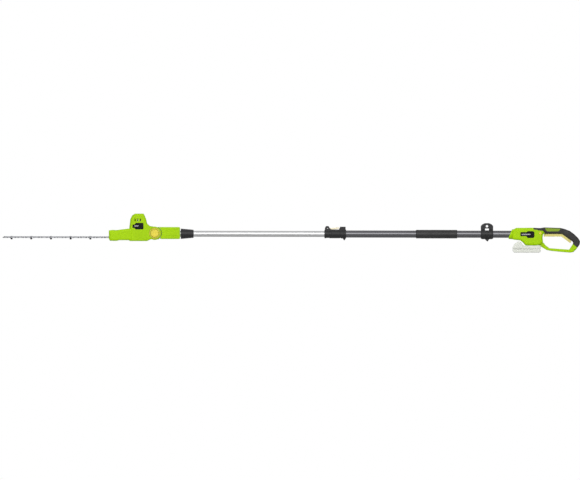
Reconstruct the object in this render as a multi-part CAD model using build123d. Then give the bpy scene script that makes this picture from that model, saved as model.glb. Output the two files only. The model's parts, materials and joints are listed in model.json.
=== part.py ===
"""Telescoping pole hedge trimmer, cordless, as an assembly of separate pieces.

Working frame while modelling: millimetres, the pole lies along X with the blades at -X,
Z is up and the pole's axis is y = 0, z = 0. x = 0 is the middle of the strap hanger.
Each piece is moved down by EYE_Z as it is written, so that the origin of the written
files is the centre of the strap hanger's round eye.
"""

import math
import os

from build123d import *

os.makedirs("parts", exist_ok=True)

# ---------------------------------------------------------------- driving dimensions
WALL = 2.5  # moulded shells
GAP = 0.3  # between pieces that move past each other
FIT = 0.05  # radial clearance of a shaft in its bearing or of a bush in its tube

# pole
OUTER_R, OUTER_BORE_R = 15.0, 13.5
INNER_R, INNER_BORE_R = 12.5, 11.0
OUTER_TUBE_X = (-655.0, 150.0)
INNER_TUBE_X = (-1345.0, -560.0)
FOAM_X, FOAM_R = (-298.6, -125.2), 18.1
COLLAR_X, COLLAR_R = (-1287.0, -1233.0), (21.8, 17.0)

# strap hanger
EYE_Z, EYE_R = 33.5, 5.0
HANGER_HALF_X, HANGER_TOP_Z, PLATE_T = 26.0, 46.6, 6.0

# telescoping clamp
CLAMP_X, CLAMP_R = (-683.0, -592.0), 18.0
CAM_X, CAM_Z, CAM_R = -670.0, 23.2, 5.3

# head tilt pivot
PIVOT_X, PIVOT_Z = -1396.5, 2.0
KNUCKLE_R, KNUCKLE_HALF = 28.0, 30.0
YOKE_FRONT_R = 30.0  # the covers' hollow front, clear of the knuckle as the head tilts
TONGUE_SLOT_R = 30.4  # the slot between the knuckle's cheeks
TONGUE_R, TONGUE_HALF = 25.5, 12.0
YOKE_X, YOKE_Z, YOKE_HALF = (-1371.0, -1290.0), (-22.3, 28.2), 24.0
BUTTON_R, BUTTON_TRAVEL = 16.3, 7.0

# cutting bar
BAR_END_X, BLADE_TAIL_X = -2030.0, -1469.0
TOOTH_PITCH, TEETH, FIRST_TOOTH_X = 33.1, 13, -1612.0
ROOT_HALF, TIP_HALF = 14.0, 33.0
BOLT_PITCH, BOLTS, FIRST_BOLT_X = 82.8, 5, -1666.6
BAR_Z = (-14.3, -11.3)
UPPER_Z = (-16.5, -14.5)
LOWER_Z = (-18.7, -16.7)
STROKE = 5.0  # each blade moves this far either way

# drive
MODULE, GEAR_TEETH, PINION_TEETH = 0.8, 60, 12
CRANK_X = -1492.0
MOTOR_X = CRANK_X + MODULE * (GEAR_TEETH + PINION_TEETH) / 2
GEAR_Z = (-3.0, 4.0)
PLATE_Z = (6.0, 10.0)
BASE_Z = (-24.0, -20.2)
SHAFT_R, ECCENTRIC_R = 4.0, 6.0
BEARING_R = 9.0
MOTOR_R, MOTOR_Z = 19.0, (10.0, 68.0)

# rear handle
BODY_HALF, GRIP_HALF = 27.0, 16.0
RUBBER = 2.5
TRIGGER_HALF, TRIGGER_PIVOT = 8.0, (352.0, -18.0)
LOCKOFF_X, LOCKOFF_Z, LOCKOFF_R = 224.0, 4.4, 5.5

# battery pack
BATTERY_HALF = 37.5
BATTERY_SPLIT_Z, BATTERY_TOP_Z, BATTERY_FOOT_Z = -62.0, -46.7, -77.0
FOOT_Z = -46.3
CELL_R, CELL_LONG, CELLS, CELL_PITCH = 9.0, 65.0, 5, 18.4
FIRST_CELL_X, CELL_Z = 120.5, -66.0
TERMINAL_YS = (-12.0, -4.0, 4.0, 12.0)

# side-view outlines, (x, z) points
NOSE = [(-1589, -22), (-1584, -30), (-1556, -30.5), (-1546, -27.5), (-1490, -27.5),
        (-1490, 22), (-1506, 21.5), (-1558, 15), (-1576, 16), (-1589, 13.6)]
BUMP = [(-1503, -8), (-1503, 26), (-1498.5, 62), (-1491, 77), (-1479, 84.5),
        (-1442.5, 84.5), (-1433, 63), (-1428, 43), (-1417, 32.5), (-1397, 29.8),
        (-1397, -8)]
MID = [(-1506, -27), (-1500, -31), (-1429, -31), (-1412, -23.4), (-1396.5, -24.5),
       (-1396.5, 28), (-1506, 18)]
BODY = [(106, -19), (113, -22.9), (139.9, -25.4), (153.3, -36.3), (161.3, FOOT_Z),
        (214, FOOT_Z), (221, -45), (236.5, -33.4), (233.1, -14.5), (237, 1.5),
        (240, 25.5), (193.2, 27.6), (121.8, 27), (106, 16.5)]
GRIP = [(205, -10), (222, 26), (241, 29.2), (308.3, 27), (329.7, 22), (347.3, 14.9),
        (365, 2.3), (382.6, -14.5), (392, -29.2), (389.8, -42.6), (374.2, -64),
        (362.5, -75), (351, -76), (345.5, -64), (359.5, -43), (363.7, -33.4), (315.4, 1.5),
        (237, 1.5)]
STRUT = [(214, -38), (218, -46), (251.6, -66.2), (271.7, -69.9), (305.8, -73.3),
         (347.3, -76.7), (362.5, -74.6), (368, -62), (360, -50), (344.8, -64),
         (262.5, -58.2), (245.7, -45.2), (236.5, -33.4)]
RUBBER_AREA = [(190, 60), (196, 19), (206, 17), (236, 14), (243, 4), (243, -3), (318, -3),
               (358, -36.5), (372, -50), (430, -82), (430, 60)]
BODY_RUBBER_AREA = [(190, 60), (196, 20), (206, 19), (212.5, 18.6), (215, 16.3), (241, 14),
                    (241, 60)]
INLAY_AREA = [(244, 26), (248, 16.5), (254, 12.4), (297, 12.4), (304, 15), (309, 23.8)]
TRIGGER = [(239.5, -9.5), (313, -9.5), (350, -37), (355, -31.5), (352, -25), (357, -18),
           (352, -13), (344, -16), (318, 3), (313, 6), (239.5, 6)]
TRIGGER_SLOT = [(238.3, -22), (238.3, 9), (330, 9), (361, -10), (359, -30),
                (356.5, -41), (340, -42), (314, -22)]
BATTERY_UPPER = [(107.5, BATTERY_SPLIT_Z), (107.5, -55), (114, -43.5), (133, -29.8),
                 (141, -32), (152.5, BATTERY_TOP_Z), (225.5, BATTERY_TOP_Z),
                 (225.5, BATTERY_SPLIT_Z)]
BATTERY_LOWER = [(107.5, BATTERY_SPLIT_Z), (225.5, BATTERY_SPLIT_Z), (225.5, -73),
                 (220, BATTERY_FOOT_Z), (114, BATTERY_FOOT_Z), (107.5, -69)]
LATCH = [(116, -49), (116, -41), (131, -29.9), (131, -49)]
LATCH_WINGS = [(117.5, -49), (117.5, -44.5), (131, -34.8), (131, -49)]

HEAD_BOSSES = [(-1572, 6), (-1568, -24.3), (-1483, 76), (-1446, 76), (-1433, 19)]
YOKE_BOSSES = [(-1322, 21), (-1354, 21), (-1302, 21)]
BODY_BOSSES = [(164, 15), (208, 15), (221, -27), (119, -18.9)]
STRUT_BOSSES = [(262, -64.1), (352, -69.3)]

nodes = {}


# ---------------------------------------------------------------- helpers
def box(x, y, z):
    """A block from three (low, high) pairs."""
    size = (x[1] - x[0], y[1] - y[0], z[1] - z[0])
    middle = ((x[0] + x[1]) / 2, (y[0] + y[1]) / 2, (z[0] + z[1]) / 2)
    return Pos(*middle) * Box(*size)


def rod(radius, span, axis="X", at=(0.0, 0.0), top_radius=None):
    """A cylinder, or a cone, along a row axis. at gives its place in the other two axes."""
    low, high = span
    body = (
        Cylinder(radius, high - low)
        if top_radius is None
        else Cone(radius, top_radius, high - low)
    )
    mid = (low + high) / 2
    if axis == "X":
        return Pos(mid, at[0], at[1]) * Rot(0, 90, 0) * body
    if axis == "Y":
        return Pos(at[0], mid, at[1]) * Rot(-90, 0, 0) * body
    return Pos(at[0], at[1], mid) * body


def pipe(outer, inner, span, axis="X", at=(0.0, 0.0)):
    """A rod with a bore."""
    return rod(outer, span, axis, at) - rod(inner, span, axis, at)


def side_face(outline, corner=0.0):
    """A face in the plane y = 0 from (x, z) points, with rounded corners."""
    points = [(x, 0, z) for x, z in outline]
    return make_face(FilletPolyline(*points, radius=corner, close=True))


def slab(outline, half, corner=0.0, rim=0.0, inset=0.0):
    """A side-view outline pulled out to y = -half and half, its rims rounded.

    inset pulls every face in by that much, for cores and hollows. A rim left with less
    than 3.4 mm is not rounded: the wall outside it is thick enough as it is."""
    face = side_face(outline, corner)
    if inset:
        face = offset(face, amount=-inset)
    solid = extrude(face, amount=half - inset, dir=(0, 1, 0), both=True)
    rim_radius = rim - inset
    if rim_radius < (3.4 if inset else 0.4):
        return solid
    sides = solid.faces().sort_by(Axis.Y)
    return fillet(sides[0].edges() + sides[-1].edges(), rim_radius)


def half_of(shape, side):
    """The part of a shape at -Y (side -1) or +Y (side 1)."""
    reach = 3000.0
    span = (-reach, 0) if side < 0 else (0, reach)
    return shape & box((-reach, reach), span, (-reach, reach))


def boss(place, side, depth, radius=3.2):
    """A screw boss along Y, from the joint face out to the shell's wall."""
    span = (-depth, 0) if side < 0 else (0, depth)
    return rod(radius, span, "Y", place)


def screw_hole(place, face_y):
    """What a shell screw driven in at y = face_y needs: shank and head room."""
    shank = rod(1.55, (7 - face_y, face_y), "Y", place)
    head = rod(3.0, (face_y - 3.2, face_y + 5), "Y", place)
    return shank + head


def screw(place, face_y):
    """A pan-head shell screw along Y, its head sunk into the +Y shell."""
    shank = rod(1.5, (8 - face_y, face_y - 3.2), "Y", place)
    head = rod(2.8, (face_y - 3.2, face_y - 0.8), "Y", place)
    head = fillet(head.faces().sort_by(Axis.Y)[-1].edges(), 0.7)
    x, z = place
    cross_y = (face_y - 2.2, face_y)
    cross = box((x - 1.7, x + 1.7), cross_y, (z - 0.35, z + 0.35))
    cross += box((x - 0.35, x + 0.35), cross_y, (z - 1.7, z + 1.7))
    return head + shank - cross


def coil(radius, wire, height, turns):
    """A compression spring standing on the origin along +Z."""
    path = Helix(pitch=height / turns, height=height, radius=radius)
    section = Plane(origin=path @ 0, z_dir=path % 0) * Circle(wire)
    return sweep(section, path=path, is_frenet=True)


def group(pieces):
    """Several separate solids as one node."""
    solids = []
    for piece in pieces:
        solids += list(piece.solids())
    return Compound(children=solids)


def involute_point(base, angle):
    """A point on the involute of a circle, unrolled by angle."""
    return (
        base * (math.cos(angle) + angle * math.sin(angle)),
        base * (math.sin(angle) - angle * math.cos(angle)),
    )


def spur_gear(teeth, thickness, phase=0.0, thinning=0.10):
    """A 20 degree involute gear about Z, with a tooth on the angle phase (radians)."""
    pitch = MODULE * teeth / 2
    base = pitch * math.cos(math.radians(20))
    root, tip = pitch - 1.15 * MODULE, pitch + 0.85 * MODULE
    half_tooth = math.pi / (2 * teeth) - thinning / pitch
    at_pitch = math.sqrt((pitch / base) ** 2 - 1)
    start = half_tooth + at_pitch - math.atan(at_pitch)
    lowest = max(root, base)
    steps = 4
    flank = []
    for step in range(steps + 1):
        radius = lowest + (tip - lowest) * step / steps
        unrolled = math.sqrt(max((radius / base) ** 2 - 1, 0.0))
        x, y = involute_point(base, unrolled)
        flank.append((math.hypot(x, y), start - math.atan2(y, x)))
    if root < base:
        flank.insert(0, (root, start))
    outline = []
    for tooth in range(teeth):
        middle = phase + 2 * math.pi * tooth / teeth
        sides = [(r, middle - a) for r, a in flank]
        sides += [(r, middle + a) for r, a in reversed(flank)]
        outline += [(r * math.cos(a), r * math.sin(a)) for r, a in sides]
    face = make_face(Polyline(*outline, close=True))
    return extrude(face, amount=thickness)


# ---------------------------------------------------------------- pole
def add_pole():
    """Both tubes, the bushes they slide on, the foam grip and the tapered collar."""
    nodes["outer_tube"] = pipe(OUTER_R, OUTER_BORE_R, OUTER_TUBE_X)
    nodes["inner_tube"] = pipe(INNER_R, INNER_BORE_R, INNER_TUBE_X)
    nodes["front_bush"] = pipe(OUTER_BORE_R, INNER_R + FIT, (OUTER_TUBE_X[0], -628)) + pipe(
        OUTER_R, INNER_R + FIT, (OUTER_TUBE_X[0] - 3, OUTER_TUBE_X[0])
    )
    rear = INNER_TUBE_X[1]
    nodes["rear_bush"] = pipe(OUTER_BORE_R - FIT, INNER_R, (rear - 18, rear)) + pipe(
        OUTER_BORE_R - FIT, INNER_BORE_R - 1, (rear, rear + 3)
    )
    foam = pipe(FOAM_R, OUTER_R, FOAM_X)
    rims = foam.edges().filter_by(GeomType.CIRCLE).filter_by(lambda e: e.radius > OUTER_R + 1)
    nodes["foam_grip"] = fillet(rims, 1.8)
    collar = rod(COLLAR_R[0], COLLAR_X, "X", top_radius=COLLAR_R[1])
    collar = fillet(collar.edges().filter_by(GeomType.CIRCLE), 1.4)
    flutes = []
    for n in range(12):
        turn = Rot(2 * 180 / 12 * n, 0, 0)
        flute = Pos(-1258, 0, 21.0) * Rot(0, 95, 0) * Cylinder(1.6, 34)
        flutes.append(turn * flute)
    for flute in flutes:
        collar -= flute
    nodes["pole_collar"] = collar - rod(INNER_R, COLLAR_X)


def add_strap_hanger():
    """The moulded ring clamp with the strap plate, and the cross bolt that closes it."""
    half = HANGER_HALF_X
    band = rod(19.6, (-half, half))
    band = fillet(band.edges().filter_by(GeomType.CIRCLE), 2.0)
    for x in (-13.0, 13.0):
        band += fillet(rod(21.0, (x - 9, x + 9)).edges().filter_by(GeomType.CIRCLE), 2.2)
    plate_outline = [(-half, 10), (-half, 35), (-19, 42), (-9, HANGER_TOP_Z),
                     (9, HANGER_TOP_Z), (19, 42), (half, 35), (half, 10)]
    plate = slab(plate_outline, PLATE_T / 2, corner=3.0, rim=1.2)
    rib_outline = [(-half + 2, 12), (-15, 29), (-11, 29), (-9, 12)]
    ribs = slab(rib_outline, PLATE_T / 2 + 2.5, corner=0.8)
    ribs += mirror(ribs, Plane.YZ)
    lug = slab([(-11, -14), (-9.5, -20), (1, -30.5), (3, -30.5), (10.5, -20), (11, -14)],
               8.0, corner=1.0, rim=1.2)
    hanger = band + plate + ribs + lug
    eye = rod(EYE_R, (-20, 20), "Y", (0, EYE_Z))
    slot = slab([(-8, 16.3), (8, 16.3), (8, 24), (-8, 24)], 30, corner=1.0)
    split = box((-40, 40), (-1.0, 1.0), (-40, 0))
    bolt_place = (1.5, -23.0)
    bolt_hole = rod(2.1, (-20, 20), "Y", bolt_place)
    head_seat = rod(5.0, (-20, -6), "Y", bolt_place)
    nut_seat = rod(5.0, (6, 20), "Y", bolt_place)
    hanger -= rod(OUTER_R, (-40, 40))
    nodes["strap_hanger"] = hanger - eye - slot - split - bolt_hole - head_seat - nut_seat
    head = fillet(rod(4.6, (-9.5, -6), "Y", bolt_place).faces().sort_by(Axis.Y)[0].edges(), 1.2)
    socket = extrude(
        Plane(origin=(bolt_place[0], -7.6, bolt_place[1]), z_dir=(0, -1, 0))
        * RegularPolygon(1.8, 6),
        amount=4,
    )
    bolt = head + rod(2.0, (-6, 10), "Y", bolt_place) - socket
    nut_plane = Plane(origin=(bolt_place[0], 6, bolt_place[1]), z_dir=(0, 1, 0))
    nut = extrude(nut_plane * RegularPolygon(4.4, 6), amount=3.4)
    nut -= rod(2.0, (5, 12), "Y", bolt_place)
    nodes["hanger_bolt"] = group([bolt, nut])


def add_telescoping_clamp():
    """The clamp at the outer tube's mouth: body, cam lever, pad and screws."""
    front, rear = CLAMP_X
    body = rod(CLAMP_R - 1.2, (front, rear))
    for span, radius in (((front, front + 7), CLAMP_R), ((-662, -618), CLAMP_R),
                         ((-614, rear), CLAMP_R + 0.8)):
        body += fillet(rod(radius, span).edges().filter_by(GeomType.CIRCLE), 1.0)
    saddle = slab([(-681, 4), (-681, 26), (-676, 33.4), (-666, 33.4), (-659, 22), (-652, 18.8),
                   (-622, 18.8), (-617, 30.6), (-594, 30.6), (-594, 4)], 12.0, corner=1.5, rim=1.8)
    lug = slab([(-605, -10), (-604.5, -21), (-602, -23.8), (-597, -23.8), (-594.5, -21),
                (-594, -10)], 5.0, corner=0.8, rim=0.8)
    body += saddle + lug
    ear_gap = box((-683, -618.4), (-7.3, 7.3), (17.6, 40))
    lever_room = box((-658.3, -618.4), (-9.9, 9.9), (18.4, 40))
    pad_room = box((-676.2, -663.8), (-5.2, 5.2), (0, 18))
    pin_hole = rod(2.0, (-20, 20), "Y", (CAM_X, CAM_Z))
    body -= rod(INNER_R + 0.25, (front - 1, -658)) + rod(OUTER_R, (-658, rear + 1))
    body -= ear_gap + lever_room + pad_room + pin_hole
    screw_places = [(-652.7, 4.0)]
    for x, z in screw_places:
        body -= rod(1.6, (-30, 30), "Y", (x, z))
        body -= rod(3.6, (-30, -17.0), "Y", (x, z)) + rod(3.6, (17.0, 30), "Y", (x, z))
    lug_screw_hole = rod(1.6, (-40, -14), "Z", (-599.5, 0))
    body -= lug_screw_hole
    nodes["clamp_body"] = body

    tapping = []
    for x, z in screw_places:
        for side in (-1, 1):
            low, high = sorted((side * (OUTER_R - 1.1), side * 17.0))
            shank = rod(1.5, (low, high), "Y", (x, z))
            low, high = sorted((side * 17.0, side * 19.2))
            head = rod(3.2, (low, high), "Y", (x, z))
            crown = head.faces().sort_by(Axis.Y)[0 if side < 0 else -1]
            head = fillet(crown.edges(), 0.8)
            tapping.append(head + shank)
    lug_head = rod(3.2, (-25.9, -23.8), "Z", (-599.5, 0))
    lug_head = fillet(lug_head.faces().sort_by(Axis.Z)[0].edges(), 1.0)
    tapping.append(lug_head + rod(1.5, (-23.8, -14.2), "Z", (-599.5, 0)))
    nodes["clamp_screws"] = group(tapping)
    tube_holes = [rod(1.5, (-30, 30), "Y", place) for place in screw_places]
    tube_holes.append(rod(1.5, (-30, 0), "Z", (-599.5, 0)))
    bush_holes = [rod(1.6, (-30, 30), "Y", place) for place in screw_places]
    for hole in tube_holes:
        nodes["outer_tube"] -= hole
    for hole in bush_holes:
        nodes["front_bush"] -= hole

    grip = slab([(-657.5, 18.9), (-652, 18.9), (-634, 19.9), (-622, 22.4), (-620.6, 26.2),
                 (-624, 29.0), (-640, 26.6), (-657.5, 24.4)], 9.5, corner=1.4, rim=1.4)
    neck = slab([(CAM_X, 19.5), (-653, 19.1), (-653, 24.4), (CAM_X, 28.0)], 7.0, corner=0.5)
    cam = rod(CAM_R, (-7.0, 7.0), "Y", (CAM_X, CAM_Z - 0.25))
    grooves = [rod(0.9, (-8, 8), "Y", (x, 26.0 + 0.145 * (x + 648)))
               for x in (-648.0, -643.0, -638.0, -633.0)]
    lever = grip + neck + cam - rod(2.0 + FIT, (-20, 20), "Y", (CAM_X, CAM_Z))
    for groove in grooves:
        lever -= groove
    nodes["clamp_lever"] = lever
    pad = box((-676, -664), (-5, 5), (0, CAM_Z - CAM_R - 0.35))
    nodes["pressure_pad"] = pad - rod(INNER_R + FIT, (-700, -600))


# ---------------------------------------------------------------- yoke and pivot
def add_yoke():
    """The pole's end of the tilt joint: cast tongue and the two covers around it."""
    pivot = (PIVOT_X, PIVOT_Z)
    tongue = rod(TONGUE_R, (-TONGUE_HALF, TONGUE_HALF), "Y", pivot)
    shoulder = rod(YOKE_FRONT_R - 0.1, (-TONGUE_HALF, TONGUE_HALF), "Y", pivot)
    tongue += shoulder & box((PIVOT_X + 13, PIVOT_X + 40), (-60, 60), (-60, 60))
    neck = box((PIVOT_X + 10, INNER_TUBE_X[0]), (-10, 10), (-9.5, 11.5))
    plug = rod(INNER_BORE_R, (INNER_TUBE_X[0], INNER_TUBE_X[0] + 40))
    tongue += neck + plug
    tongue -= rod(14.6, (-TONGUE_HALF - 1, 7), "Y", pivot)
    tongue -= rod(SHAFT_R + FIT, (0, TONGUE_HALF + 1), "Y", pivot)
    tongue -= rod(2.6, (-1400, -1290), "X")
    index_teeth = []
    for n in range(12):
        angle = math.radians(30 * n + 15)
        reach = 13.9
        place = (PIVOT_X + reach * math.cos(angle), PIVOT_Z + reach * math.sin(angle))
        index_teeth.append(rod(1.1, (-TONGUE_HALF, 6.9), "Y", place))
    for tooth in index_teeth:
        tongue += tooth
    nodes["pivot_tongue"] = tongue

    low, high = YOKE_Z
    start, end = YOKE_X
    outline = [(start - 14, low + 9), (start + 1, low), (end, low), (end, high),
               (start - 14, high)]
    clearance = rod(YOKE_FRONT_R, (-60, 60), "Y", pivot)
    outer = slab(outline, YOKE_HALF, corner=5.0, rim=4.8)
    hollow = slab(outline, YOKE_HALF, corner=5.0, rim=4.8, inset=WALL)
    front_wall = rod(YOKE_FRONT_R + WALL, (-60, 60), "Y", pivot)
    hollow -= front_wall
    for span in ((-1342, -1338), (-1318, -1314)):
        hollow -= box(span, (-40, 40), (-40, 40))
    channel = box((-1400, INNER_TUBE_X[0]), (-10.3, 10.3), (-9.8, 11.8))
    grooves = []
    for z in (-9.0, 16.0):
        for side in (-1, 1):
            y = side * (YOKE_HALF + 0.5)
            grooves.append(rod(1.5, (-1352, -1300), "X", (y, z)))
    for side, name in ((-1, "yoke_cover_left"), (1, "yoke_cover_right")):
        cover = half_of(outer - clearance - hollow, side)
        for place in YOKE_BOSSES:
            cover += boss(place, side, YOKE_HALF - 1)
        cover -= rod(INNER_R, (INNER_TUBE_X[0] - 2, end + 10)) + channel
        for place in YOKE_BOSSES:
            cover -= screw_hole(place, YOKE_HALF)
        for groove in grooves:
            cover -= groove
        nodes[name] = cover
    nodes["yoke_screws"] = group([screw(place, YOKE_HALF) for place in YOKE_BOSSES])


def add_pivot():
    """What the head carries at the tilt joint: axle, bezel, button, lock gear and spring."""
    pivot = (PIVOT_X, PIVOT_Z)
    axle = rod(SHAFT_R, (-22, KNUCKLE_HALF - 4), "Y", pivot)
    axle += rod(9.0, (KNUCKLE_HALF - 4, KNUCKLE_HALF), "Y", pivot)
    head_socket = Plane(origin=(PIVOT_X, KNUCKLE_HALF, PIVOT_Z), z_dir=(0, -1, 0))
    axle -= extrude(head_socket * RegularPolygon(3.5, 6), amount=3)
    nodes["pivot_axle"] = axle

    face = -KNUCKLE_HALF
    bezel = pipe(23.6, BUTTON_R + GAP, (face - 2.2, face), "Y", pivot)
    outer_rims = bezel.faces().sort_by(Axis.Y)[0].edges()
    nodes["pivot_bezel"] = fillet(outer_rims, 1.0)

    button = rod(BUTTON_R, (face - 5, face + 4), "Y", pivot)
    button = fillet(button.faces().sort_by(Axis.Y)[0].edges(), 2.0)
    button -= pipe(11.6, 10.2, (face - 6, face - 4.2), "Y", pivot)
    button += pipe(10.5, 6.5, (face + 4, -19), "Y", pivot)
    button -= rod(5.2, (face - 1, 0), "Y", pivot)
    nodes["pivot_button"] = button

    gear = rod(11.0, (-19, -9), "Y", pivot)
    for n in range(12):
        angle = math.radians(30 * n)
        place = (PIVOT_X + 11.0 * math.cos(angle), PIVOT_Z + 11.0 * math.sin(angle))
        gear += rod(1.1, (-19, -9), "Y", place)
    nodes["lock_gear"] = gear - rod(SHAFT_R + 2 * FIT, (-30, 0), "Y", pivot)
    spring = coil(8.0, 0.8, 12.4, 5)
    nodes["lock_spring"] = Pos(PIVOT_X, 5.2, PIVOT_Z) * Rot(90, 0, 0) * spring


# ---------------------------------------------------------------- head
def head_solid(inset):
    """The outside of the trimmer head, every face pulled in by inset."""
    nose = slab(NOSE, 34.0, corner=3.2, rim=8.0, inset=inset)
    bump = slab(BUMP, 29.0, corner=4.5, rim=11.0, inset=inset)
    mid = slab(MID, 32.0, corner=3.0, rim=6.0, inset=inset)
    return nose + bump + mid


def add_head_shells():
    """The two shells of the head, their vents, bosses and knuckle cheeks."""
    pivot = (PIVOT_X, PIVOT_Z)
    knuckle = rod(KNUCKLE_R, (-KNUCKLE_HALF, KNUCKLE_HALF), "Y", pivot)
    knuckle = fillet(knuckle.edges().filter_by(GeomType.CIRCLE), 3.0)
    bulkhead_x = PIVOT_X - TONGUE_SLOT_R - 2.6
    past_knuckle = box((PIVOT_X, PIVOT_X + 60), (-60, 60), (-60, 80))
    outer = head_solid(0.0) - past_knuckle + knuckle
    hollow = head_solid(WALL) & box((-1700, bulkhead_x), (-60, 60), (-60, 120))
    tongue_slot = rod(TONGUE_SLOT_R, (-TONGUE_HALF - GAP, TONGUE_HALF + GAP), "Y", pivot)
    blade_slot = box((-1600, -1580), (-17.6, 17.6), (-25.5, -10.6))
    button_room = rod(BUTTON_R + GAP, (-60, -17), "Y", pivot)
    spline_room = rod(12.4, (-20, 0), "Y", pivot)
    bezel_room = rod(23.9, (-60, -KNUCKLE_HALF), "Y", pivot)
    axle_room = rod(SHAFT_R, (0, 60), "Y", pivot)
    axle_room += rod(9.0, (KNUCKLE_HALF - 4, 60), "Y", pivot)
    badge_seats = slab(BADGE_HEAD, 60.0, corner=3.0) - slab(BADGE_HEAD, 27.8, corner=3.0)
    vents = []
    for x in (-1478.8, -1467.7, -1456.6):
        slot = slab([(x - 2.2, 52), (x + 2.2, 52), (x + 2.2, 64), (x - 2.2, 64)], 60, 2.0)
        vents.append(slot - box((-1600, -1400), (-22, 22), (0, 90)))
    for side, name in ((-1, "head_shell_left"), (1, "head_shell_right")):
        shell = half_of(outer - hollow, side)
        for place in HEAD_BOSSES:
            shell += boss(place, side, 27.5 if place[0] > -1500 else 32.5)
        shell -= tongue_slot + blade_slot + button_room + spline_room + axle_room
        shell -= bezel_room
        shell -= badge_seats
        for vent in vents:
            shell -= vent
        for place in HEAD_BOSSES:
            shell -= screw_hole(place, head_face(place))
        nodes[name] = shell


def head_face(place):
    """How far from the joint face the head's side lies at a screw's place."""
    return 34.0 if place[0] < -1500 else 29.0


BADGE_HEAD = [(-1490, 24), (-1480.5, 24), (-1478, 18), (-1446, 18), (-1443.6, 21),
              (-1443.6, 43), (-1446, 45.5), (-1476, 45.5), (-1480.5, 38.5), (-1490, 38.5)]
BADGE_BODY = [(140.5, -8), (165, -8), (171, -15.5), (194, -15.5), (199.5, -10),
              (199.5, 8), (194, 13.2), (171, 13.2), (166, 9), (140.5, 9)]


def badge_pair(outline, face_y):
    """Two plain badges, one on each side, with a raised lozenge and no lettering."""
    plates = []
    for side in (-1, 1):
        low, high = sorted((side * (face_y - 1.2), side * (face_y + 0.5)))
        middle = Pos(0, (low + high) / 2, 0)
        face = offset(side_face(outline, 2.8), amount=-0.1)
        plate = middle * extrude(face, amount=(high - low) / 2, dir=(0, 1, 0), both=True)
        front = plate.faces().sort_by(Axis.Y)[0 if side < 0 else -1]
        plates.append(fillet(front.edges(), 0.45))
    return plates


def add_head_trim():
    """The head's badges and all of its screws."""
    nodes["head_badges"] = group(badge_pair(BADGE_HEAD, 29.0))
    screws = [screw(place, head_face(place)) for place in HEAD_BOSSES]
    for x, y in GEARBOX_COLUMNS:
        head = rod(3.0, (PLATE_Z[1], PLATE_Z[1] + 2.0), "Z", (x, y))
        screws.append(head + rod(1.5, (PLATE_Z[0] - 8, PLATE_Z[1]), "Z", (x, y)))
    nodes["head_screws"] = group(screws)


GEARBOX_COLUMNS = [(-1524, -23.5), (-1524, 23.5), (-1439, -22.5), (-1439, 22.5)]
BAR_SCREWS = (-1550.0, -1533.0)


def add_gearbox():
    """Two aluminium plates with the crank between them, its bearings, shaft and gear."""
    crank = (CRANK_X, 0)
    upper = box((-1558, -1433), (-27, 27), PLATE_Z)
    upper = fillet(upper.edges().filter_by(Axis.Z), 5)
    upper -= rod(BEARING_R, PLATE_Z, "Z", crank)
    upper -= rod(8.0, PLATE_Z, "Z", (MOTOR_X, 0))
    base = box((-1531, -1433), (-27, 27), BASE_Z)
    base = fillet(base.edges().filter_by(Axis.Z), 5)
    base -= rod(BEARING_R, BASE_Z, "Z", crank)
    for place in GEARBOX_COLUMNS:
        base += rod(4.0, (BASE_Z[0] + 1, PLATE_Z[0]), "Z", place)
        base -= rod(1.55, (PLATE_Z[0] - 8.2, PLATE_Z[0] + 1), "Z", place)
        upper -= rod(1.55, PLATE_Z, "Z", place)
    for x in BAR_SCREWS:
        upper += rod(5.0, (BAR_Z[1], PLATE_Z[0]), "Z", (x, 0))
        upper -= rod(2.05, (-20, 20), "Z", (x, 0))
    boss_clear = rod(3.4, (-40, 40), "Y", HEAD_BOSSES[4])
    nodes["gear_plate"] = upper - boss_clear
    nodes["base_plate"] = base
    nodes["crank_bearings"] = group(
        [pipe(BEARING_R, SHAFT_R + FIT, span, "Z", crank) for span in (PLATE_Z, BASE_Z)]
    )
    shaft = rod(SHAFT_R, (BASE_Z[0], PLATE_Z[1]), "Z", crank)
    shaft += rod(7.0, (-13.8, GEAR_Z[0]), "Z", crank)
    throw = STROKE
    shaft += rod(ECCENTRIC_R, (UPPER_Z[0] - 0.05, -13.8), "Z", (CRANK_X, throw))
    shaft += rod(ECCENTRIC_R, (-19.4, UPPER_Z[0] - 0.05), "Z", (CRANK_X, -throw))
    nodes["crank_shaft"] = shaft
    gear = Pos(CRANK_X, 0, GEAR_Z[0]) * spur_gear(GEAR_TEETH, GEAR_Z[1] - GEAR_Z[0])
    gear -= rod(SHAFT_R, GEAR_Z, "Z", crank)
    for n in range(6):
        angle = math.radians(60 * n + 30)
        place = (CRANK_X + 14.5 * math.cos(angle), 14.5 * math.sin(angle))
        gear -= rod(4.2, GEAR_Z, "Z", place)
    nodes["drive_gear"] = gear


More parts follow.
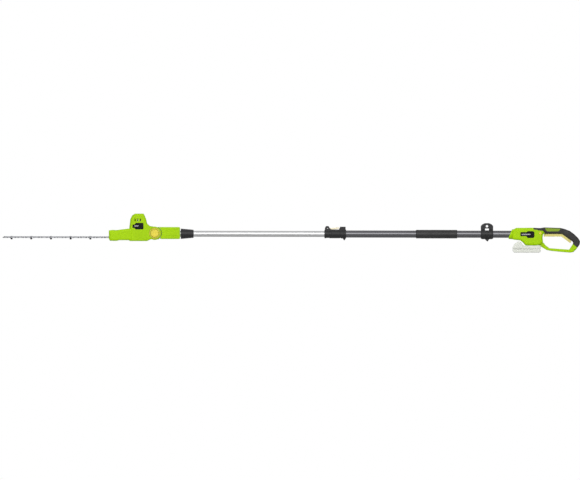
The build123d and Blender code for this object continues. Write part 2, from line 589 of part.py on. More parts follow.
def add_motor():
    """The upright motor: can, armature on its shaft, and the pinion."""
    at = (MOTOR_X, 0)
    low, high = MOTOR_Z
    can = rod(MOTOR_R, (low, high), "Z", at)
    can = fillet(can.edges().filter_by(GeomType.CIRCLE), 1.5)
    can += rod(8.0, (PLATE_Z[0], low), "Z", at)
    can -= rod(MOTOR_R - 1.5, (low + 2, high - 3), "Z", at)
    can -= rod(2.5 + FIT, (PLATE_Z[0] - 1, high - 1), "Z", at)
    for n in range(4):
        angle = math.radians(90 * n + 45)
        place = (MOTOR_X + 12 * math.cos(angle), 12 * math.sin(angle))
        can -= rod(2.4, (high - 4, high + 1), "Z", place)
    nodes["motor_can"] = can
    armature = rod(2.5, (GEAR_Z[0] - 1, high - 1.2), "Z", at)
    core = rod(13.0, (low + 10, high - 18), "Z", at)
    for n in range(5):
        angle = math.radians(72 * n)
        place = (MOTOR_X + 12.2 * math.cos(angle), 12.2 * math.sin(angle))
        core -= rod(1.8, (low, high), "Z", place)
    armature += core + rod(5.0, (high - 16, high - 6), "Z", at)
    nodes["motor_armature"] = armature
    magnets = pipe(MOTOR_R - 1.5, 13.6, (low + 9, high - 17), "Z", at)
    magnets -= box((MOTOR_X - 30, MOTOR_X + 30), (-4, 4), (0, 80))
    nodes["motor_magnets"] = group([magnets])
    half_pitch = math.pi / PINION_TEETH
    pinion = spur_gear(PINION_TEETH, GEAR_Z[1] - GEAR_Z[0], math.pi + half_pitch)
    pinion = Pos(MOTOR_X, 0, GEAR_Z[0]) * pinion
    nodes["motor_pinion"] = pinion - rod(2.5, GEAR_Z, "Z", at)


# ---------------------------------------------------------------- cutting bar
def blade(height, lean):
    """One toothed blade: two combs on a straight back, bolt slots and a crank window."""
    low, high = height
    start, end = BAR_END_X + 4, -1600.0
    plan = Pos((start + end) / 2, 0) * Rectangle(end - start, 2 * ROOT_HALF)
    plan += Pos(start, 0) * Circle(ROOT_HALF - 5)
    plan += Pos((end + BLADE_TAIL_X) / 2, 0) * Rectangle(BLADE_TAIL_X - end, 30)
    plan += Pos(CRANK_X - 4, 0) * RectangleRounded(2 * (CRANK_X * -1 + BLADE_TAIL_X) + 8, 34, 5)
    for n in range(TEETH):
        x = FIRST_TOOTH_X - n * TOOTH_PITCH
        for side in (-1, 1):
            points = [(x - 9.5, side * (ROOT_HALF - 1)), (x - 4.2 + lean, side * (TIP_HALF - 2)),
                      (x - 2.2 + lean, side * TIP_HALF), (x + 2.2 + lean, side * TIP_HALF),
                      (x + 4.2 + lean, side * (TIP_HALF - 2)), (x + 9.5, side * (ROOT_HALF - 1))]
            plan += make_face(Polyline(*points, close=True))
    for n in range(BOLTS):
        x = FIRST_BOLT_X - n * BOLT_PITCH
        plan -= Pos(x, 0) * SlotOverall(2 * (3.5 + STROKE + 0.4), 7.4)
    window = 2 * (ECCENTRIC_R + STROKE + STROKE + 0.5)
    plan -= Pos(CRANK_X, 0) * RectangleRounded(window, 2 * (ECCENTRIC_R + STROKE + 0.6), 3)
    return Pos(0, 0, low) * extrude(plan, amount=high - low)


def add_cutting_bar():
    """Guide bar, both blades and the shoulder bolts that hold them to the bar."""
    nodes["upper_blade"] = blade(UPPER_Z, 0.0)
    nodes["lower_blade"] = blade(LOWER_Z, 0.0)
    inner_end = BAR_SCREWS[1] + 9
    long = inner_end - BAR_END_X
    plan = Pos((BAR_END_X + inner_end) / 2, 0) * RectangleRounded(long, 23, 6)
    bar = Pos(0, 0, BAR_Z[0]) * extrude(plan, amount=BAR_Z[1] - BAR_Z[0])
    bolts = []
    for n in range(BOLTS):
        at = (FIRST_BOLT_X - n * BOLT_PITCH, 0)
        bar -= rod(2.5, BAR_Z, "Z", at)
        head = rod(4.4, (BAR_Z[1], BAR_Z[1] + 0.9), "Z", at)
        head = fillet(head.faces().sort_by(Axis.Z)[-1].edges(), 0.6)
        shank = rod(2.5, (-24.6, BAR_Z[1]), "Z", at) + rod(3.5, (LOWER_Z[0] - 0.3, BAR_Z[0]), "Z", at)
        bolts.append(head + shank)
        washer = rod(5.0, (LOWER_Z[0] - 1.2, LOWER_Z[0] - 0.3), "Z", at)
        nut_plane = Plane(origin=(at[0], 0, -24.0))
        nut = extrude(nut_plane * RegularPolygon(4.1, 6), amount=24.0 + LOWER_Z[0] - 1.2)
        bolts.append(washer + nut - rod(2.5, (-30, 0), "Z", at))
    for x in BAR_SCREWS:
        bar -= rod(2.05, BAR_Z, "Z", (x, 0))
        bolts.append(rod(2.0, (BAR_Z[0] + 0.2, PLATE_Z[1]), "Z", (x, 0)))
    nodes["guide_bar"] = bar
    nodes["blade_bolts"] = group(bolts)


# ---------------------------------------------------------------- rear handle
def handle_body(inset):
    """The block of the handle that holds the pole and carries the battery."""
    body = slab(BODY, BODY_HALF, corner=9.2, rim=9.0, inset=inset)
    nose = rod(19.5 - inset, (91 + inset, 130), "X", top_radius=23.0 - inset)
    lip = slab([(60, 40), (60, -40), (90, -40), (90, -15), (104, 17), (104, 40)], 60.0)
    return body + nose - Pos(inset, 0, 0) * lip


def handle_loop(inset):
    """The closed loop behind the body: grip above, strut below."""
    grip = slab(GRIP, GRIP_HALF, corner=8.3, rim=8.0, inset=inset)
    strut = slab(STRUT, GRIP_HALF - 1, corner=4.2, rim=4.0, inset=inset)
    return grip + strut


def area(outline):
    """A side-view area as a block right through the handle."""
    return slab(outline, 60.0)


def add_handle():
    """Shells, rubber grip, inlays, badges and screws of the rear handle."""
    skin = handle_loop(0.0)
    core = handle_loop(RUBBER)
    rubber_area = area(RUBBER_AREA)
    inlay_area = area(INLAY_AREA)
    body = handle_body(0.0)
    trigger_slot = slab(TRIGGER_SLOT, TRIGGER_HALF + 0.4)
    covering = (skin - core - body) & rubber_area
    tail = (body - handle_body(RUBBER) - skin) & area(BODY_RUBBER_AREA)
    nodes["grip_inlays"] = group([(covering & inlay_area) - trigger_slot])
    rubber = (covering - inlay_area) + tail - trigger_slot
    grooves = []
    for n in range(13):
        place = Pos(322 + 44 * n / 12, 0, 28 - 30 * n / 12) * Rot(0, 40, 0)
        grooves.append(place * Box(1.3, 60, 3.0))
    near_surface = skin - handle_loop(1.0)
    for groove in grooves:
        rubber -= groove & near_surface
    nodes["rear_grip_rubber"] = group([rubber])

    shell = (skin + body) - (covering + tail)
    hollow = handle_body(WALL) + handle_loop(RUBBER + 2.2)
    for span in ((90, 116), (136, 141)):
        hollow -= box(span, (-60, 60), (-60, 60))
    shell -= hollow
    rail_x = (176.2, 213)
    rail = box(rail_x, (-19, 19), (-50.2, FOOT_Z + 2)) + box(rail_x, (-23, 23), (-53.6, -50.0))
    terminal_room = box((163, 176.2), (-18.2, 18.2), (-60, -38))
    lockoff_at = (LOCKOFF_X, LOCKOFF_Z)
    for side, name in ((-1, "handle_shell_left"), (1, "handle_shell_right")):
        half = half_of(shell, side) + half_of(rail, side)
        for place in BODY_BOSSES:
            half += boss(place, side, BODY_HALF - 1.5)
        for place in STRUT_BOSSES:
            half += boss(place, side, GRIP_HALF - 1.5)
        if side > 0:
            half += rod(4.0, (-4, BODY_HALF - 1), "Y", lockoff_at)
        else:
            half -= rod(LOCKOFF_R + GAP, (-60, -BODY_HALF + 4), "Y", lockoff_at)
            half -= rod(4.2, (-5, 1), "Y", lockoff_at)
        half -= rod(OUTER_R, (0, OUTER_TUBE_X[1])) + terminal_room + trigger_slot
        half -= slab(BADGE_BODY, 60.0, corner=2.8) - slab(BADGE_BODY, BODY_HALF - 1.2, corner=2.8)
        for place in BODY_BOSSES:
            half -= screw_hole(place, BODY_HALF)
        for place in STRUT_BOSSES:
            half -= screw_hole(place, GRIP_HALF)
        half -= rod(2.0, (-11.0, 11.0), "Y", TRIGGER_PIVOT)
        nodes[name] = half
    nodes["handle_badges"] = group(badge_pair(BADGE_BODY, BODY_HALF))
    nodes["handle_screws"] = group(
        [screw(place, BODY_HALF) for place in BODY_BOSSES]
        + [screw(place, GRIP_HALF) for place in STRUT_BOSSES]
    )


def add_controls():
    """Trigger, lock-off button, switch, springs and board, and the two equal hinge pins."""
    trigger = slab(TRIGGER, TRIGGER_HALF, corner=1.2, rim=1.2)
    nodes["trigger_lever"] = trigger - rod(2.0 + FIT, (-20, 20), "Y", TRIGGER_PIVOT)
    pin_places = (TRIGGER_PIVOT, (CAM_X, CAM_Z))
    nodes["hinge_pins"] = group([rod(2.0, (-10.8, 10.8), "Y", at) for at in pin_places])
    module = box((246, 278), (-8.5, 8.5), (13.4, 22.5))
    module = fillet(module.edges().filter_by(Axis.Y), 1.0)
    module += rod(2.2, (11.2, 14), "Z", (270, 0))
    nodes["switch_module"] = module
    at = (LOCKOFF_X, LOCKOFF_Z)
    button = rod(LOCKOFF_R, (-BODY_HALF - 3.2, -BODY_HALF + 5), "Y", at)
    button = fillet(button.faces().sort_by(Axis.Y)[0].edges(), 1.2)
    button += rod(6.8, (-BODY_HALF + 3.6, -BODY_HALF + 5.6), "Y", at)
    nodes["lockoff_button"] = button
    nodes["trigger_spring"] = Pos(254, 0, 6.5) * coil(2.8, 0.35, 6.3, 5)
    return_spring = coil(3.4, 0.35, 15.8, 6)
    nodes["lockoff_spring"] = Pos(LOCKOFF_X, -4.8, LOCKOFF_Z) * Rot(90, 0, 0) * return_spring
    nodes["control_board"] = box((168, 205), (-18, 18), (-2.8, -1.2)) + box(
        (172, 184), (-10, 10), (-1.2, 6)
    )
    block = box((163.2, 176), (-18, 18), (-53.4, -32))
    nodes["terminal_block"] = fillet(block.edges().filter_by(Axis.Y), 0.6)
    nodes["terminal_blades"] = group(
        [box((147, 163.2), (y - 0.4, y + 0.4), (-52, -48.2)) for y in TERMINAL_YS]
    )


# ---------------------------------------------------------------- battery pack
def add_battery():
    """The slide-on pack: two case halves, cells, board, contacts, latch and its spring."""
    upper = slab(BATTERY_UPPER, BATTERY_HALF, corner=1.6, rim=4.0)
    upper -= box((156, 240), (-19.5, 19.5), (-51, -40))
    upper -= box((156, 240), (-23.5, 23.5), (-54.1, -49.8))
    upper -= box((143, 157), (-18.6, 18.6), (-54.1, -40))
    hollow = box((110, 223), (-35.2, 35.2), (BATTERY_SPLIT_Z - 1, -56.1))
    block_hollow = slab(BATTERY_UPPER, BATTERY_HALF, inset=2.3) & box((100, 140), (-33, 33), (-58, 0))
    upper -= hollow + block_hollow
    upper -= box((115.7, 131.3), (-12.3, 12.3), (-50, -20))
    for side in (-1, 1):
        for n in range(5):
            x = 168 + 10 * n
            upper -= box((x, x + 4), sorted((side * 36.7, side * 40)), (-60, -50))
    nodes["battery_case_upper"] = upper
    lower = slab(BATTERY_LOWER, BATTERY_HALF, corner=2.5, rim=4.0)
    lower -= box((110, 223), (-35.2, 35.2), (-75.2, BATTERY_SPLIT_Z + 1))
    nodes["battery_case_lower"] = lower
    cells = []
    for n in range(CELLS):
        at = (FIRST_CELL_X + n * CELL_PITCH, CELL_Z)
        cell = rod(CELL_R, (-CELL_LONG / 2, CELL_LONG / 2), "Y", at)
        cell = fillet(cell.edges().filter_by(GeomType.CIRCLE), 0.8)
        cells.append(cell)
    nodes["battery_cells"] = group(cells)
    nodes["battery_board"] = box((207, 208.6), (-32, 32), (-74, -57.5))
    clips = []
    for y in TERMINAL_YS:
        for side in (-1, 1):
            near, far = sorted((y + side * 0.6, y + side * 1.2))
            clips.append(box((146, 158), (near, far), (-54.1, -48.4)))
    nodes["battery_contacts"] = group(clips)
    wings = slab(LATCH_WINGS, 14.5)
    nodes["battery_latch"] = slab(LATCH, 12.0, corner=0.8, rim=0.8) + wings
    nodes["latch_spring"] = Pos(123.5, 0, -56.6) * coil(4.0, 0.5, 6.9, 4)


# ---------------------------------------------------------------- build and write
def main():
    add_pole()
    add_strap_hanger()
    add_telescoping_clamp()
    add_yoke()
    add_pivot()
    add_head_shells()
    add_head_trim()
    add_gearbox()
    add_motor()
    add_cutting_bar()
    add_handle()
    add_controls()
    add_battery()
    for name, shape in nodes.items():
        export_step(Pos(0, 0, -EYE_Z) * shape, f"parts/{name}.step")


main()
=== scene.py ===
"""Looks, light and camera for the pole hedge trimmer. Metres, in the part's own frame."""

import json
import math

import bmesh
import bpy
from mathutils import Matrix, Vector, noise

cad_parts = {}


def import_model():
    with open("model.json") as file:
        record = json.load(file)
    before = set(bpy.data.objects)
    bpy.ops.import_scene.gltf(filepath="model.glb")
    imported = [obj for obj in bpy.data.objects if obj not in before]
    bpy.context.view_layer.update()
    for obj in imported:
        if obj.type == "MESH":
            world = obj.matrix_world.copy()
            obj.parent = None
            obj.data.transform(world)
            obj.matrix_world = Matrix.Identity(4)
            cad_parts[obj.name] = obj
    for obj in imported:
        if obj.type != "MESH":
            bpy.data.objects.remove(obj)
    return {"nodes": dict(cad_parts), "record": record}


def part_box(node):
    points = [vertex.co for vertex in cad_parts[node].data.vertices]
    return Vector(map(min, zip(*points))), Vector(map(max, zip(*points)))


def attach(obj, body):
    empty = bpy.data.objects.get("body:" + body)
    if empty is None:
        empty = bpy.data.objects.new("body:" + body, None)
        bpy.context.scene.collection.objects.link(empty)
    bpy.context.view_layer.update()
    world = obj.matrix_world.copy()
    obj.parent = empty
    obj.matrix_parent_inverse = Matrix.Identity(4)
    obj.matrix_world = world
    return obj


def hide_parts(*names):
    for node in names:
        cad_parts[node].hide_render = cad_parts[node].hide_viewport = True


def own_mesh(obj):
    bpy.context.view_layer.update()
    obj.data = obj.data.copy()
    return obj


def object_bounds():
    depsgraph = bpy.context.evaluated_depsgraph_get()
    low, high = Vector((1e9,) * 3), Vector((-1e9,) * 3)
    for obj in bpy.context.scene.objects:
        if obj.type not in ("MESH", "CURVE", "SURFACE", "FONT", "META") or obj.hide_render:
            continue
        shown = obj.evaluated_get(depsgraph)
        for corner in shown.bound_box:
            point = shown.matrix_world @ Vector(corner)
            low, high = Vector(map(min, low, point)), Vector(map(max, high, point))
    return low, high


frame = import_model()
cad_low, cad_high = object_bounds()
middle_x = (cad_low.x + cad_high.x) / 2


# ---------------------------------------------------------------- materials
# Noise scales are per metre, depths and widths are in metres.
PLASTIC_IOR = 1.49
FINE_GRAIN, COARSE_GRAIN = 1900.0, 900.0
SEAM_SHADOW = (0.00016, 0.00034)  # from the middle plane, where the dark line fades out
SEAM_GROOVE = (0.00012, 0.0004)  # from the middle plane, where the groove's side rises
SEAM_DEPTH = 0.0003
DARK_STAIN = (0.12, 0.10, 0.08)


class Look:
    """A procedural material in the making: its shader and the part's own coordinates."""

    def __init__(self, name, colour, rough, **sockets):
        self.material = bpy.data.materials.new(name)
        self.material.use_nodes = True
        self.tree = self.material.node_tree
        self.shader = self.tree.nodes["Principled BSDF"]
        self.coords = self.tree.nodes.new("ShaderNodeTexCoord").outputs["Object"]
        self.normal = None
        self.shader.inputs["Base Color"].default_value = (*colour, 1)
        self.shader.inputs["Roughness"].default_value = rough
        for socket, value in sockets.items():
            self.shader.inputs[socket.replace("_", " ")].default_value = value

    def node(self, kind, **values):
        made = self.tree.nodes.new(kind)
        for key, value in values.items():
            setattr(made, key, value)
        return made

    def link(self, source, target):
        self.tree.links.new(source, target)

    def stretched(self, stretch):
        """The part's coordinates, scaled unevenly for grain that runs one way."""
        if stretch == (1, 1, 1):
            return self.coords
        mapping = self.node("ShaderNodeMapping")
        mapping.inputs["Scale"].default_value = stretch
        self.link(self.coords, mapping.inputs["Vector"])
        return mapping.outputs["Vector"]

    def noise(self, scale, detail=2.0, stretch=(1, 1, 1)):
        made = self.node("ShaderNodeTexNoise")
        made.inputs["Scale"].default_value = scale
        made.inputs["Detail"].default_value = detail
        self.link(self.stretched(stretch), made.inputs["Vector"])
        return made.outputs["Fac"]

    def cells(self, scale, stretch=(1, 1, 1)):
        made = self.node("ShaderNodeTexVoronoi")
        made.inputs["Scale"].default_value = scale
        self.link(self.stretched(stretch), made.inputs["Vector"])
        return made.outputs["Distance"]

    def remap(self, source, source_range, target_range):
        made = self.node("ShaderNodeMapRange")
        low, high = source_range
        made.inputs["From Min"].default_value = low
        made.inputs["From Max"].default_value = high
        made.inputs["To Min"].default_value = target_range[0]
        made.inputs["To Max"].default_value = target_range[1]
        self.link(source, made.inputs["Value"])
        return made.outputs["Result"]

    def maths(self, operation, a, b=None):
        made = self.node("ShaderNodeMath", operation=operation)
        for socket, value in zip(made.inputs, (a, b)):
            if isinstance(value, (int, float)):
                socket.default_value = value
            elif value is not None:
                self.link(value, socket)
        return made.outputs[0]

    def axis(self, letter):
        """One of the part's coordinates, in metres."""
        made = self.node("ShaderNodeSeparateXYZ")
        self.link(self.coords, made.inputs[0])
        return made.outputs[letter]

    def edges(self, radius):
        """1 where the surface turns sharply within radius, 0 on open faces."""
        bevel = self.node("ShaderNodeBevel", samples=4)
        bevel.inputs["Radius"].default_value = radius
        geometry = self.node("ShaderNodeNewGeometry")
        dot = self.node("ShaderNodeVectorMath", operation="DOT_PRODUCT")
        self.link(bevel.outputs[0], dot.inputs[0])
        self.link(geometry.outputs["Normal"], dot.inputs[1])
        return self.remap(dot.outputs["Value"], (0.985, 0.86), (0.0, 1.0))

    def colours(self, factor, first, second):
        """A colour that goes from first to second with factor. Either may be a socket."""
        mix = self.node("ShaderNodeMix", data_type="RGBA")
        self.link(factor, mix.inputs["Factor"])
        for socket, value in ((mix.inputs[6], first), (mix.inputs[7], second)):
            if isinstance(value, tuple):
                socket.default_value = (*value, 1)
            else:
                self.link(value, socket)
        return mix.outputs[2]

    def paint(self, colour):
        self.link(colour, self.shader.inputs["Base Color"])
        return self

    def gloss(self, roughness):
        self.link(roughness, self.shader.inputs["Roughness"])
        return self

    def bump(self, height, depth, strength=1.0):
        """Relief of that depth in metres, on top of any relief already there."""
        made = self.node("ShaderNodeBump")
        made.inputs["Strength"].default_value = strength
        made.inputs["Distance"].default_value = depth
        self.link(height, made.inputs["Height"])
        if self.normal:
            self.link(self.normal, made.inputs["Normal"])
        self.normal = made.outputs["Normal"]
        self.link(self.normal, self.shader.inputs["Normal"])
        return self


def shaded(colour, share, lift=0.0):
    """A colour scaled by share and raised by lift, kept within range."""
    return tuple(min(1.0, c * share + lift) for c in colour)


def moulded(name, colour, rough, grain=0.00006, coarse=False, worn=None, seam=False, shine=0.5):
    """Injection moulded plastic: spark-eroded grain, drifting tone, rubbed edges.

    grain is its depth in metres. seam draws the parting line of two shells at y = 0.
    """
    look = Look(name, colour, rough, IOR=PLASTIC_IOR, Specular_IOR_Level=shine)
    drift = look.remap(look.noise(11.0, 3.0), (0.35, 0.65), (0, 1))
    tone = look.colours(drift, shaded(colour, 0.93), colour)
    patches = look.remap(look.noise(130.0, 3.0), (0.42, 0.62), (0.05, 0.75))
    rubbed = look.maths("MULTIPLY", look.edges(0.0007), patches)
    tone = look.colours(rubbed, tone, worn or shaded(colour, 1.25, 0.02))
    if seam:
        off_centre = look.maths("ABSOLUTE", look.axis("Y"))
        joint = look.remap(off_centre, SEAM_SHADOW, (1, 0))
        tone = look.colours(joint, tone, shaded(colour, 0.16))
    look.paint(tone)
    smudge = look.noise(34.0, 4.0)
    look.gloss(look.remap(smudge, (0.3, 0.7), (rough - 0.06, rough + 0.08)))
    look.bump(look.noise(COARSE_GRAIN if coarse else FINE_GRAIN, 2.0), grain)
    if seam:
        look.bump(look.remap(off_centre, SEAM_GROOVE, (0, 1)), SEAM_DEPTH)
    return look.material


def tube_metal(name, colour, rough, streaks):
    """Drawn tube: fine lines along X, a few longer scuffs and handling marks."""
    look = Look(name, colour, rough, Metallic=1.0)
    lines = look.noise(900.0, 2.0, (0.012, 1, 1))
    scuffs = look.noise(240.0, 4.0, (0.03, 1, 1))
    streak = look.remap(lines, (0.38, 0.62), (0, 1))
    look.paint(look.colours(streak, shaded(colour, 1 - streaks), colour))
    look.gloss(look.remap(scuffs, (0.35, 0.72), (rough, rough + 0.12)))
    look.bump(lines, 0.00001, 0.6)
    return look.material


def steel(name, colour, rough, grain_stretch, grind=None, stain=0.12):
    """Bare or plated steel with grinding lines, faint stains and a painted highlight along its
    edges.

    grind is the band of distances from the middle plane over which a ground edge brightens.
    """
    look = Look(name, colour, rough, Metallic=1.0)
    lines = look.noise(1500.0, 2.0, grain_stretch)
    marks = look.remap(look.noise(23.0, 5.0), (0.5, 0.72), (0, stain))
    tone = look.colours(look.remap(lines, (0.35, 0.65), (0, 1)), shaded(colour, 0.86), colour)
    tone = look.colours(marks, tone, DARK_STAIN)
    # painted highlight: the colour is made brighter along every edge
    tone = look.colours(look.edges(0.0004), tone, shaded(colour, 1.3))
    if grind:
        outward = look.maths("ABSOLUTE", look.axis("Y"))
        ground = look.remap(outward, grind, (0, 1))
        tone = look.colours(ground, tone, shaded(colour, 1.35))
    look.paint(tone)
    look.gloss(look.remap(look.noise(60.0, 4.0), (0.3, 0.7), (rough - 0.05, rough + 0.12)))
    look.bump(lines, 0.00002, 0.7)
    return look.material


def rubber(name, colour, rough):
    """Soft-touch overmould: a fine pebbled surface with a little dust on it."""
    look = Look(name, colour, rough, Sheen_Weight=0.12, Sheen_Roughness=0.5)
    pebbles = look.cells(620.0)
    dusty = look.remap(look.noise(30.0, 4.0), (0.45, 0.7), (0, 0.35))
    look.paint(look.colours(dusty, colour, shaded(colour, 2.1, 0.004)))
    look.gloss(look.remap(look.noise(70.0, 3.0), (0.3, 0.7), (rough - 0.08, rough + 0.1)))
    look.bump(pebbles, 0.00012)
    return look.material


def foam(name, colour):
    """Closed-cell foam: small open pores with painted shade in them, and a soft sheen."""
    look = Look(name, colour, 0.42, Specular_IOR_Level=0.55)
    pores = look.cells(950.0)
    pore_relief_and_shade = look.remap(pores, (0.10, 0.42), (0, 1))
    pressed = look.remap(look.noise(18.0, 3.0), (0.4, 0.65), (0, 1))
    skin = look.colours(pressed, colour, shaded(colour, 1.7, 0.004))
    # painted shade: the pores are darkened in colour as well as sunk by the bump
    look.paint(look.colours(pore_relief_and_shade, shaded(colour, 0.35), skin))
    look.bump(pore_relief_and_shade, 0.00035, 0.9)
    look.bump(look.noise(240.0, 4.0), 0.0003, 0.7)
    return look.material


def cast_metal(name, colour, rough):
    """Sand-blasted casting, with a painted highlight along its edges."""
    look = Look(name, colour, rough, Metallic=0.9)
    tone = look.colours(look.noise(45.0, 4.0), shaded(colour, 0.8), colour)
    # painted highlight: the colour is made brighter along every edge
    tone = look.colours(look.edges(0.0006), tone, shaded(colour, 1.5))
    look.paint(tone)
    look.gloss(look.remap(look.noise(420.0, 3.0), (0.3, 0.7), (rough - 0.1, rough + 0.15)))
    look.bump(look.noise(520.0, 4.0), 0.00012, 0.8)
    return look.material


def board(name):
    """A circuit board's solder mask, its copper tracks showing through."""
    look = Look(name, (0.015, 0.11, 0.045), 0.3, Coat_Weight=0.5)
    between = look.remap(look.cells(260.0, (1, 0.3, 1)), (0.28, 0.34), (0, 1))
    look.paint(look.colours(between, (0.03, 0.20, 0.08), (0.012, 0.09, 0.036)))
    look.bump(between, 0.00004)
    return look.material


def badge_gloss(name):
    """Smooth dark badge with fine dust and hairline scratches."""
    ground = (0.005, 0.006, 0.0055)
    look = Look(name, ground, 0.14, Specular_IOR_Level=0.2)
    hairlines = look.remap(look.noise(700.0, 2.0, (0.05, 1, 1)), (0.6, 0.75), (0, 1))
    look.paint(look.colours(hairlines, ground, (0.02, 0.023, 0.022)))
    look.gloss(look.remap(look.noise(50.0, 5.0), (0.4, 0.7), (0.10, 0.2)))
    return look.material


LIME = (0.385, 0.655, 0.002)
finishes = {
    "green_plastic": moulded("lime_plastic", LIME, 0.36, seam=True, shine=0.12),
    "black_plastic": moulded("black_plastic", (0.013, 0.013, 0.0145), 0.40, 0.00012, True,
                             worn=(0.04, 0.04, 0.044), shine=0.4),
    "black_badge": badge_gloss("badge_gloss"),
    "soft_grip": rubber("grip_rubber", (0.013, 0.012, 0.0115), 0.6),
    "foam": foam("grip_foam", (0.007, 0.007, 0.0072)),
    "dark_tube": tube_metal("anodised_tube", (0.165, 0.165, 0.175), 0.11, 0.08),
    "bright_tube": tube_metal("polished_tube", (0.66, 0.665, 0.67), 0.32, 0.03),
    "blade_steel": steel("ground_steel", (0.30, 0.305, 0.32), 0.34, (1, 0.03, 1),
                         grind=(0.0135, 0.0165)),
    "hardware_steel": steel("plated_steel", (0.58, 0.58, 0.57), 0.30, (1, 1, 0.2)),
    "dark_screws": steel("black_oxide", (0.05, 0.05, 0.053), 0.38, (1, 1, 1), stain=0.05),
    "spring_steel": steel("spring_wire", (0.45, 0.46, 0.48), 0.25, (1, 1, 1)),
    "cast_aluminium": cast_metal("cast_aluminium", (0.34, 0.34, 0.35), 0.48),
    "motor_steel": steel("motor_case", (0.42, 0.42, 0.44), 0.35, (1, 1, 0.1)),
    "magnet_dark": cast_metal("sintered_magnet", (0.07, 0.07, 0.075), 0.6),
    "yellow_plastic": moulded("yellow_plastic", (0.82, 0.68, 0.040), 0.34,
                              worn=(0.92, 0.84, 0.30)),
    "trigger_plastic": moulded("trigger_plastic", (0.74, 0.66, 0.20), 0.42),
    # painted shade: this ring is the button's yellow, darkened and dulled as if it were in shade
    "gold_ring": moulded("yellow_ring_painted_shade", (0.50, 0.49, 0.012), 0.30),
    "cream_plastic": moulded("cream_plastic", (0.94, 0.86, 0.62), 0.32),
    "pale_plastic": moulded("pale_plastic", (0.74, 0.76, 0.69), 0.42),
    "cell_wrap": moulded("cell_wrap", (0.03, 0.16, 0.32), 0.22),
    "board_green": board("solder_mask"),
    "contact_brass": steel("plated_brass", (0.78, 0.60, 0.24), 0.22, (1, 1, 1), stain=0.05),
}

slot_of = {s["node"]: s["material_slot"] for s in frame["record"]["subparts"]}
# the inlay shares the green plastic's slot, but its green is darker and has no parting line
inlay_look = moulded("inlay_plastic", (0.215, 0.335, 0.012), 0.34, 0.0001, True, shine=0.25)
for name, node in frame["nodes"].items():
    for slot in node.material_slots:
        slot.material = inlay_look if name == "grip_inlays" else finishes[slot_of[name]]


# ---------------------------------------------------------------- added pieces
def new_piece(name, mesh, slot, body, smooth=True):
    """Makes a mesh object of a bmesh, gives it a finish and lets it ride on a body."""
    data = bpy.data.meshes.new(name)
    mesh.normal_update()
    mesh.to_mesh(data)
    mesh.free()
    piece = bpy.data.objects.new(name, data)
    bpy.context.scene.collection.objects.link(piece)
    data.materials.append(finishes[slot])
    for polygon in data.polygons:
        polygon.use_smooth = smooth
    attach(piece, body)
    return piece


def wall_share(from_end):
    """How much of the foam's full wall stands at a distance from its end."""
    roll_radius, end_share = 0.0035, 0.62
    if from_end >= roll_radius:
        return 1.0
    rise = math.sqrt(1 - (1 - from_end / roll_radius) ** 2)
    return end_share + (1 - end_share) * rise


def hand_dent(x, angle):
    """The shallow unevenness of a used grip, mostly inwards."""
    place = Vector((x * 60, math.cos(angle) * 1.3, math.sin(angle) * 1.3))
    return 0.00022 * (noise.noise(place) - 0.6)


def foam_sleeve(node, body):
    """The foam grip: a sleeve with rolled ends and the shallow waves a hand leaves."""
    low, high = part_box(node)
    tube_low, tube_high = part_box("outer_tube")
    tube_radius = (tube_high.y - tube_low.y) / 2
    centre_z = (low.z + high.z) / 2
    full_wall = (high.y - low.y) / 2 - tube_radius
    length = high.x - low.x
    least_wall = 0.0002
    rings, around = 110, 72
    angles = [2 * math.pi * k / around for k in range(around)]
    mesh = bmesh.new()

    def point(x, radius, angle):
        return mesh.verts.new((x, radius * math.cos(angle), centre_z + radius * math.sin(angle)))

    chain = []
    for i in range(rings + 1):
        x = low.x + i / rings * length
        share = wall_share(min(i, rings - i) / rings * length)
        walls = [max(full_wall * share + hand_dent(x, angle), least_wall) for angle in angles]
        chain.append([point(x, tube_radius + wall, a) for wall, a in zip(walls, angles)])
    for x in (high.x, low.x):
        chain.append([point(x, tube_radius, angle) for angle in angles])
    for a, b in zip(chain, chain[1:] + chain[:1]):
        for k in range(around):
            n = (k + 1) % around
            mesh.faces.new((a[k], b[k], b[n], a[n]))
    bmesh.ops.recalc_face_normals(mesh, faces=mesh.faces[:])
    piece = new_piece("foam_sleeve", mesh, "foam", body)
    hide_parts(node)


def bar(name, x_span, z_span, y_face, body, lean):
    """A slim raised bar with rounded ends and a bevelled rim, on a face that looks along Y."""
    thick, steps = 0.0004, 24
    radius = (z_span[1] - z_span[0]) / 2
    mid_x, mid_z = sum(x_span) / 2, sum(z_span) / 2
    outline = []
    for centre_x, start in ((x_span[1] - radius, -math.pi / 2), (x_span[0] + radius, math.pi / 2)):
        for k in range(steps + 1):
            angle = start + math.pi * k / steps
            outline.append((centre_x + radius * math.cos(angle), radius * math.sin(angle)))
    side = 1 if y_face > 0 else -1
    mesh = bmesh.new()
    layers = []
    for out, shrink in ((0.0, 0.0), (thick * 0.6, 0.0), (thick, thick * 0.5)):
        share = 1 - shrink / radius
        layer = []
        for x, z in outline:
            place = (mid_x + (x - mid_x) * share + lean * z, y_face + side * out, mid_z + z * share)
            layer.append(mesh.verts.new(place))
        layers.append(layer)
    for a, b in zip(layers, layers[1:]):
        for k in range(len(outline)):
            n = (k + 1) % len(outline)
            mesh.faces.new((a[k], a[n], b[n], b[k]))
    mesh.faces.new(layers[0])
    mesh.faces.new(layers[-1])
    bmesh.ops.recalc_face_normals(mesh, faces=mesh.faces[:])
    new_piece(name, mesh, "cast_aluminium", body, smooth=False)


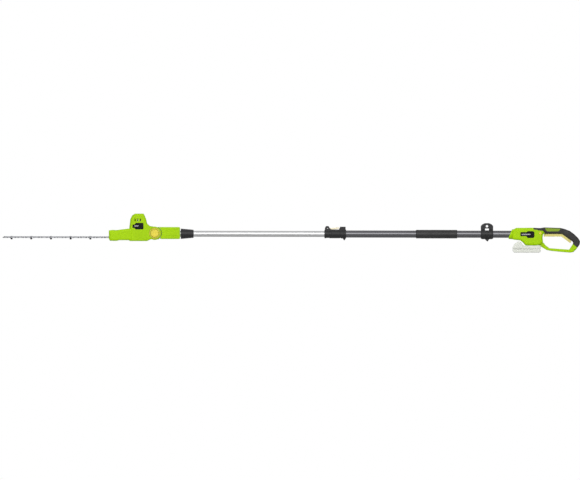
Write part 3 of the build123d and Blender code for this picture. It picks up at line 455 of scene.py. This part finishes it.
def badge_bars(node, body, name, start, end, lean=0.0):
    """One blank bar on each side's badge. start and end are shares of the badge's width."""
    low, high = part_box(node)
    width, height = high.x - low.x, high.z - low.z
    x_span = (low.x + start * width, low.x + end * width)
    z_span = (low.z + 0.44 * height, low.z + 0.62 * height)
    for word, face in (("left", low.y), ("right", high.y)):
        bar(f"{name}_{word}", x_span, z_span, face, body, lean)


def spring(node, body):
    """A copy of the node's own coil with a mesh of its own, riding on a body."""
    piece = bpy.data.objects.new(f"{node}_coil", frame["nodes"][node].data.copy())
    bpy.context.scene.collection.objects.link(piece)
    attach(piece, body)
    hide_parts(node)
    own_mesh(piece)


foam_sleeve("foam_grip", "handle")
spring("lock_spring", "head")
spring("lockoff_spring", "handle")
spring("trigger_spring", "handle")
spring("latch_spring", "battery")
badge_bars("head_badges", "head", "head_badge_bar", 0.16, 0.55, lean=0.3)
badge_bars("handle_badges", "handle", "handle_badge_bar", 0.08, 0.72)


# ---------------------------------------------------------------- stage, light, camera
def floor():
    """A wide pale floor, clear of the blade tip when the head folds straight down."""
    half_side = 14.0
    centre = (cad_low + cad_high) / 2
    axle_low, axle_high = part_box("pivot_axle")
    axle = (axle_low + axle_high) / 2
    reach = axle.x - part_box("upper_blade")[0].x
    mesh = bmesh.new()
    bmesh.ops.create_grid(mesh, x_segments=1, y_segments=1, size=half_side)
    data = bpy.data.meshes.new("floor")
    mesh.to_mesh(data)
    mesh.free()
    plane = bpy.data.objects.new("floor", data)
    plane.location = (centre.x, centre.y, axle.z - reach)
    bpy.context.scene.collection.objects.link(plane)
    look = Look("pale_floor", (0.68, 0.68, 0.68), 0.9)
    data.materials.append(look.material)


def softbox(name, place, target, size, power):
    """A rectangular area light, in metres and watts, that the camera doesn't see."""
    light = bpy.data.lights.new(name, "AREA")
    light.shape = "RECTANGLE"
    light.size, light.size_y = size
    light.energy = power
    lamp = bpy.data.objects.new(name, light)
    lamp.location = place
    lamp.rotation_euler = (Vector(target) - Vector(place)).to_track_quat("-Z", "Y").to_euler()
    lamp.visible_camera = False
    bpy.context.scene.collection.objects.link(lamp)


def world():
    """White to the camera, dim as a light, brightest overhead."""
    made = bpy.data.worlds.new("studio")
    bpy.context.scene.world = made
    made.use_nodes = True
    tree = made.node_tree
    tree.nodes.clear()
    out = tree.nodes.new("ShaderNodeOutputWorld")
    lit = tree.nodes.new("ShaderNodeBackground")
    seen = tree.nodes.new("ShaderNodeBackground")
    mix = tree.nodes.new("ShaderNodeMixShader")
    path = tree.nodes.new("ShaderNodeLightPath")
    coords = tree.nodes.new("ShaderNodeTexCoord")
    split = tree.nodes.new("ShaderNodeSeparateXYZ")
    ramp = tree.nodes.new("ShaderNodeMapRange")
    ramp.inputs["From Min"].default_value = -0.2
    ramp.inputs["From Max"].default_value = 0.9
    ramp.inputs["To Min"].default_value = 0.12
    ramp.inputs["To Max"].default_value = 0.25
    tree.links.new(coords.outputs["Generated"], split.inputs[0])
    tree.links.new(split.outputs["Z"], ramp.inputs["Value"])
    tree.links.new(ramp.outputs[0], lit.inputs["Strength"])
    seen.inputs["Strength"].default_value = 1.0
    seen.inputs["Color"].default_value = (1, 1, 1, 1)
    tree.links.new(path.outputs["Is Camera Ray"], mix.inputs[0])
    tree.links.new(lit.outputs[0], mix.inputs[1])
    tree.links.new(seen.outputs[0], mix.inputs[2])
    tree.links.new(mix.outputs[0], out.inputs["Surface"])


def camera():
    """Level side view along +Y, framed on the whole tool at full stretch."""
    margin, distance, roll = 1.0045, 5.0, math.radians(-0.09)
    aside, height = -0.006, -0.0590
    data = bpy.data.cameras.new("camera")
    data.type = "ORTHO"
    data.ortho_scale = (cad_high.x - cad_low.x) * margin
    data.clip_end = 60.0
    eye = bpy.data.objects.new("camera", data)
    eye.location = (middle_x + aside, -distance, height)
    eye.rotation_euler = (math.radians(90), roll, 0)
    bpy.context.scene.collection.objects.link(eye)
    bpy.context.scene.camera = eye


def lights():
    """A long low key, a small high one, and soft light from above, behind and far in front."""
    pole = (middle_x, 0.0, -0.03)
    above, ahead = 0.8, -9.5
    softbox("key_low", (middle_x, -4.49, 1.26), pole, size=(10.0, 2.4), power=181.0)
    softbox("key_high", (middle_x, -1.85, 2.33), pole, size=(6.0, 2.4), power=22.0)
    softbox("overhead", (middle_x, above, 4.4), (middle_x, above, 0.0), size=(9.0, 7.0), power=95.0)
    softbox("back_fill", (middle_x, 3.4, 1.7), pole, size=(6.0, 1.4), power=12.0)
    softbox("far_floor", (middle_x, ahead, 4.0), (middle_x, ahead, 0.0), (14.0, 8.0), power=280.0)


floor()
world()
camera()
lights()
bpy.context.scene.view_settings.view_transform = "Standard"

bpy.context.view_layer.update()
